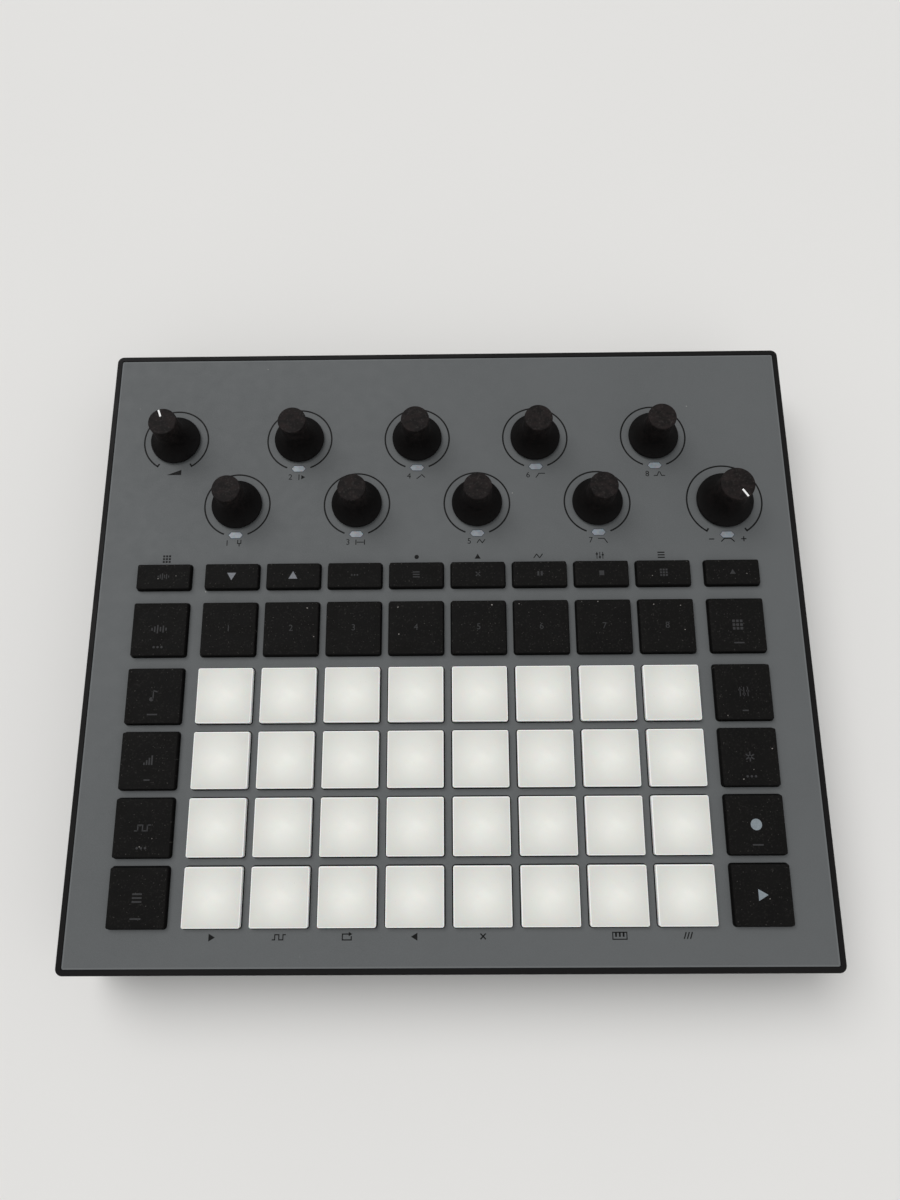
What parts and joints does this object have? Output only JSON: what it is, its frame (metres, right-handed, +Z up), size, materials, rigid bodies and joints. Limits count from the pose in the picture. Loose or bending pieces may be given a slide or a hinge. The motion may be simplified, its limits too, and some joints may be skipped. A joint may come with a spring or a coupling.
{
  "type": "drum machine",
  "caption": "Flat desktop groovebox: white silicone pads in rows, black rubber keys around them, flared knobs with light windows, sockets in the rear wall.",
  "frame": {"origin": "under the middle of the case, on the plane of the feet", "axes": "+X to the player's right, +Y to the sockets at the rear, +Z up out of the panel"},
  "size_m": [0.24, 0.21, 0.045],
  "materials": {
    "case_plastic": "fine moulded texture",
    "panel_paint": "matte grey paint",
    "key_rubber": "soft matte rubber",
    "pad_silicone": "translucent white silicone",
    "knob_plastic": "soft-touch black",
    "mat_rubber": "moulded silicone",
    "board_laminate": "solder-masked laminate",
    "battery_wrap": "shrink wrap",
    "plated_steel": "plated",
    "light_pipe": "frosted clear plastic",
    "socket_plastic": "moulded",
    "foot_rubber": "matte",
    "screw_steel": "blackened"
  },
  "bodies": {
    "root": {"lower_case": "case_plastic", "upper_case": "case_plastic", "face_plate": "panel_paint", "key_mat": "mat_rubber", "control_board": "board_laminate", "jack_board": "board_laminate", "battery_pack": "battery_wrap", "encoder_bodies": "plated_steel", "potentiometer_bodies": "plated_steel", "light_pipes": "light_pipe", "din_sockets": "socket_plastic", "line_jacks": "socket_plastic", "mini_jacks": "socket_plastic", "usb_socket": "plated_steel", "card_socket": "plated_steel", "rubber_feet": "foot_rubber", "case_screws": "screw_steel"},
    "sample_key": {"sample_key": "key_rubber"},
    "track_key_1": {"track_key_1": "key_rubber"},
    "track_key_2": {"track_key_2": "key_rubber"},
    "track_key_3": {"track_key_3": "key_rubber"},
    "track_key_4": {"track_key_4": "key_rubber"},
    "track_key_5": {"track_key_5": "key_rubber"},
    "track_key_6": {"track_key_6": "key_rubber"},
    "track_key_7": {"track_key_7": "key_rubber"},
    "track_key_8": {"track_key_8": "key_rubber"},
    "patterns_key": {"patterns_key": "key_rubber"},
    "sample_record_key": {"sample_record_key": "key_rubber"},
    "page_down_key": {"page_down_key": "key_rubber"},
    "page_up_key": {"page_up_key": "key_rubber"},
    "step_page_key": {"step_page_key": "key_rubber"},
    "tempo_key": {"tempo_key": "key_rubber"},
    "clear_key": {"clear_key": "key_rubber"},
    "duplicate_key": {"duplicate_key": "key_rubber"},
    "save_key": {"save_key": "key_rubber"},
    "projects_key": {"projects_key": "key_rubber"},
    "shift_key": {"shift_key": "key_rubber"},
    "pattern_settings_key": {"pattern_settings_key": "key_rubber"},
    "gate_key": {"gate_key": "key_rubber"},
    "velocity_key": {"velocity_key": "key_rubber"},
    "note_key": {"note_key": "key_rubber"},
    "play_key": {"play_key": "key_rubber"},
    "record_key": {"record_key": "key_rubber"},
    "effects_key": {"effects_key": "key_rubber"},
    "mixer_key": {"mixer_key": "key_rubber"},
    "pad_row_1": {"pad_row_1": "pad_silicone"},
    "pad_row_2": {"pad_row_2": "pad_silicone"},
    "pad_row_3": {"pad_row_3": "pad_silicone"},
    "pad_row_4": {"pad_row_4": "pad_silicone"},
    "power_button": {"power_button": "socket_plastic"},
    "volume_knob": {"volume_knob": "knob_plastic"},
    "macro_knob_1": {"macro_knob_1": "knob_plastic"},
    "macro_knob_2": {"macro_knob_2": "knob_plastic"},
    "macro_knob_3": {"macro_knob_3": "knob_plastic"},
    "macro_knob_4": {"macro_knob_4": "knob_plastic"},
    "macro_knob_5": {"macro_knob_5": "knob_plastic"},
    "macro_knob_6": {"macro_knob_6": "knob_plastic"},
    "macro_knob_7": {"macro_knob_7": "knob_plastic"},
    "macro_knob_8": {"macro_knob_8": "knob_plastic"},
    "filter_knob": {"filter_knob": "knob_plastic"}
  },
  "joints": [
    {"name": "sample_key_press", "type": "slide", "parent": "root", "child": "sample_key", "axis": [0, 0, -1], "range_m": [0, 0.001], "stiffness_N_per_m": 500},
    {"name": "track_key_1_press", "type": "slide", "parent": "root", "child": "track_key_1", "axis": [0, 0, -1], "range_m": [0, 0.001], "stiffness_N_per_m": 500},
    {"name": "track_key_2_press", "type": "slide", "parent": "root", "child": "track_key_2", "axis": [0, 0, -1], "range_m": [0, 0.001], "stiffness_N_per_m": 500},
    {"name": "track_key_3_press", "type": "slide", "parent": "root", "child": "track_key_3", "axis": [0, 0, -1], "range_m": [0, 0.001], "stiffness_N_per_m": 500},
    {"name": "track_key_4_press", "type": "slide", "parent": "root", "child": "track_key_4", "axis": [0, 0, -1], "range_m": [0, 0.001], "stiffness_N_per_m": 500},
    {"name": "track_key_5_press", "type": "slide", "parent": "root", "child": "track_key_5", "axis": [0, 0, -1], "range_m": [0, 0.001], "stiffness_N_per_m": 500},
    {"name": "track_key_6_press", "type": "slide", "parent": "root", "child": "track_key_6", "axis": [0, 0, -1], "range_m": [0, 0.001], "stiffness_N_per_m": 500},
    {"name": "track_key_7_press", "type": "slide", "parent": "root", "child": "track_key_7", "axis": [0, 0, -1], "range_m": [0, 0.001], "stiffness_N_per_m": 500},
    {"name": "track_key_8_press", "type": "slide", "parent": "root", "child": "track_key_8", "axis": [0, 0, -1], "range_m": [0, 0.001], "stiffness_N_per_m": 500},
    {"name": "patterns_key_press", "type": "slide", "parent": "root", "child": "patterns_key", "axis": [0, 0, -1], "range_m": [0, 0.001], "stiffness_N_per_m": 500},
    {"name": "sample_record_key_press", "type": "slide", "parent": "root", "child": "sample_record_key", "axis": [0, 0, -1], "range_m": [0, 0.001], "stiffness_N_per_m": 500},
    {"name": "page_down_key_press", "type": "slide", "parent": "root", "child": "page_down_key", "axis": [0, 0, -1], "range_m": [0, 0.001], "stiffness_N_per_m": 500},
    {"name": "page_up_key_press", "type": "slide", "parent": "root", "child": "page_up_key", "axis": [0, 0, -1], "range_m": [0, 0.001], "stiffness_N_per_m": 500},
    {"name": "step_page_key_press", "type": "slide", "parent": "root", "child": "step_page_key", "axis": [0, 0, -1], "range_m": [0, 0.001], "stiffness_N_per_m": 500},
    {"name": "tempo_key_press", "type": "slide", "parent": "root", "child": "tempo_key", "axis": [0, 0, -1], "range_m": [0, 0.001], "stiffness_N_per_m": 500},
    {"name": "clear_key_press", "type": "slide", "parent": "root", "child": "clear_key", "axis": [0, 0, -1], "range_m": [0, 0.001], "stiffness_N_per_m": 500},
    {"name": "duplicate_key_press", "type": "slide", "parent": "root", "child": "duplicate_key", "axis": [0, 0, -1], "range_m": [0, 0.001], "stiffness_N_per_m": 500},
    {"name": "save_key_press", "type": "slide", "parent": "root", "child": "save_key", "axis": [0, 0, -1], "range_m": [0, 0.001], "stiffness_N_per_m": 500},
    {"name": "projects_key_press", "type": "slide", "parent": "root", "child": "projects_key", "axis": [0, 0, -1], "range_m": [0, 0.001], "stiffness_N_per_m": 500},
    {"name": "shift_key_press", "type": "slide", "parent": "root", "child": "shift_key", "axis": [0, 0, -1], "range_m": [0, 0.001], "stiffness_N_per_m": 500},
    {"name": "pattern_settings_key_press", "type": "slide", "parent": "root", "child": "pattern_settings_key", "axis": [0, 0, -1], "range_m": [0, 0.001], "stiffness_N_per_m": 500},
    {"name": "gate_key_press", "type": "slide", "parent": "root", "child": "gate_key", "axis": [0, 0, -1], "range_m": [0, 0.001], "stiffness_N_per_m": 500},
    {"name": "velocity_key_press", "type": "slide", "parent": "root", "child": "velocity_key", "axis": [0, 0, -1], "range_m": [0, 0.001], "stiffness_N_per_m": 500},
    {"name": "note_key_press", "type": "slide", "parent": "root", "child": "note_key", "axis": [0, 0, -1], "range_m": [0, 0.001], "stiffness_N_per_m": 500},
    {"name": "play_key_press", "type": "slide", "parent": "root", "child": "play_key", "axis": [0, 0, -1], "range_m": [0, 0.001], "stiffness_N_per_m": 500},
    {"name": "record_key_press", "type": "slide", "parent": "root", "child": "record_key", "axis": [0, 0, -1], "range_m": [0, 0.001], "stiffness_N_per_m": 500},
    {"name": "effects_key_press", "type": "slide", "parent": "root", "child": "effects_key", "axis": [0, 0, -1], "range_m": [0, 0.001], "stiffness_N_per_m": 500},
    {"name": "mixer_key_press", "type": "slide", "parent": "root", "child": "mixer_key", "axis": [0, 0, -1], "range_m": [0, 0.001], "stiffness_N_per_m": 500},
    {"name": "pad_row_1_press", "type": "slide", "parent": "root", "child": "pad_row_1", "axis": [0, 0, -1], "range_m": [0, 0.0005], "stiffness_N_per_m": 2000},
    {"name": "pad_row_2_press", "type": "slide", "parent": "root", "child": "pad_row_2", "axis": [0, 0, -1], "range_m": [0, 0.0005], "stiffness_N_per_m": 2000},
    {"name": "pad_row_3_press", "type": "slide", "parent": "root", "child": "pad_row_3", "axis": [0, 0, -1], "range_m": [0, 0.0005], "stiffness_N_per_m": 2000},
    {"name": "pad_row_4_press", "type": "slide", "parent": "root", "child": "pad_row_4", "axis": [0, 0, -1], "range_m": [0, 0.0005], "stiffness_N_per_m": 2000},
    {"name": "power_button_press", "type": "slide", "parent": "root", "child": "power_button", "axis": [0, -1, 0], "range_m": [0, 0.001], "stiffness_N_per_m": 400},
    {"name": "volume_knob_turn", "type": "hinge", "parent": "root", "child": "volume_knob", "pos_m": [-0.09605, 0.0714, 0.037], "axis": [0, 0, 1], "range_deg": [-170, 130]},
    {"name": "macro_knob_1_turn", "type": "hinge", "parent": "root", "child": "macro_knob_1", "pos_m": [-0.07294, 0.0469, 0.037], "axis": [0, 0, 1], "continuous": true},
    {"name": "macro_knob_2_turn", "type": "hinge", "parent": "root", "child": "macro_knob_2", "pos_m": [-0.0521, 0.0714, 0.037], "axis": [0, 0, 1], "continuous": true},
    {"name": "macro_knob_3_turn", "type": "hinge", "parent": "root", "child": "macro_knob_3", "pos_m": [-0.03126, 0.0469, 0.037], "axis": [0, 0, 1], "continuous": true},
    {"name": "macro_knob_4_turn", "type": "hinge", "parent": "root", "child": "macro_knob_4", "pos_m": [-0.01042, 0.0714, 0.037], "axis": [0, 0, 1], "continuous": true},
    {"name": "macro_knob_5_turn", "type": "hinge", "parent": "root", "child": "macro_knob_5", "pos_m": [0.01042, 0.0469, 0.037], "axis": [0, 0, 1], "continuous": true},
    {"name": "macro_knob_6_turn", "type": "hinge", "parent": "root", "child": "macro_knob_6", "pos_m": [0.03126, 0.0714, 0.037], "axis": [0, 0, 1], "continuous": true},
    {"name": "macro_knob_7_turn", "type": "hinge", "parent": "root", "child": "macro_knob_7", "pos_m": [0.0521, 0.0469, 0.037], "axis": [0, 0, 1], "continuous": true},
    {"name": "macro_knob_8_turn", "type": "hinge", "parent": "root", "child": "macro_knob_8", "pos_m": [0.07294, 0.0714, 0.037], "axis": [0, 0, 1], "continuous": true},
    {"name": "filter_knob_turn", "type": "hinge", "parent": "root", "child": "filter_knob", "pos_m": [0.09605, 0.0469, 0.037], "axis": [0, 0, 1], "range_deg": [-4, 296]}
  ]
}
